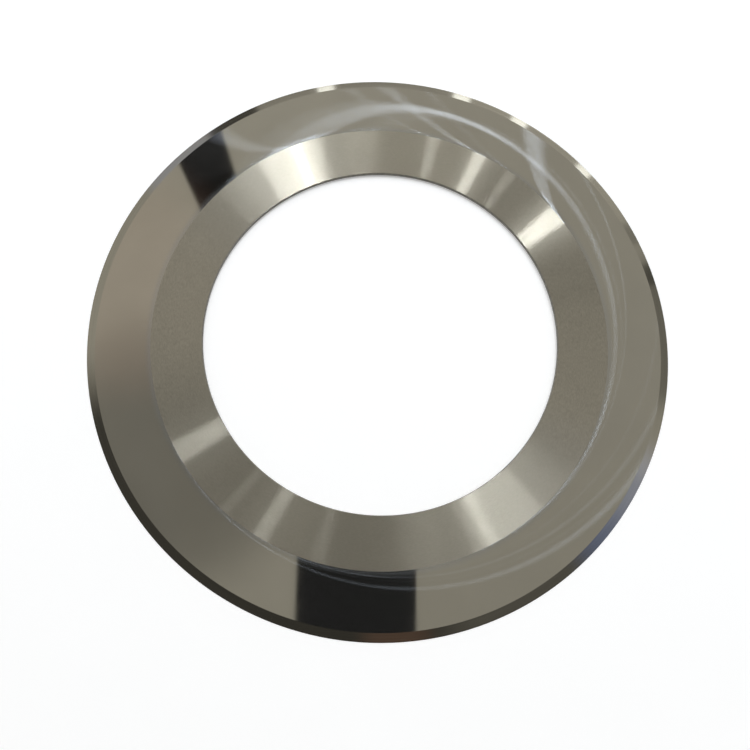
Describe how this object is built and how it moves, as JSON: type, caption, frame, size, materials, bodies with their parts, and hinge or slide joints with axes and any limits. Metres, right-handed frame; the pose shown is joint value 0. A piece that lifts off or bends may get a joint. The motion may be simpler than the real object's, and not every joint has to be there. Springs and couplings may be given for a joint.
{
  "type": "circular slitter knife",
  "caption": "Thin flat ring knife with one bevel ground to a sharp outer rim, a satin clamping face round a plain bore and a mirror-polished band; slits board, paper or film.",
  "frame": {"origin": "centre of the bore on the flat back face", "axes": "+Z along the bore axis, out of the bevelled side; X and Y are alike, because the knife is round"},
  "size_m": [0.2, 0.2, 0.0013],
  "materials": {
    "carbide": "ground satin round the bore, mirror-polished towards the rim"
  },
  "bodies": {
    "root": {"slitter_knife": "carbide"}
  },
  "joints": []
}
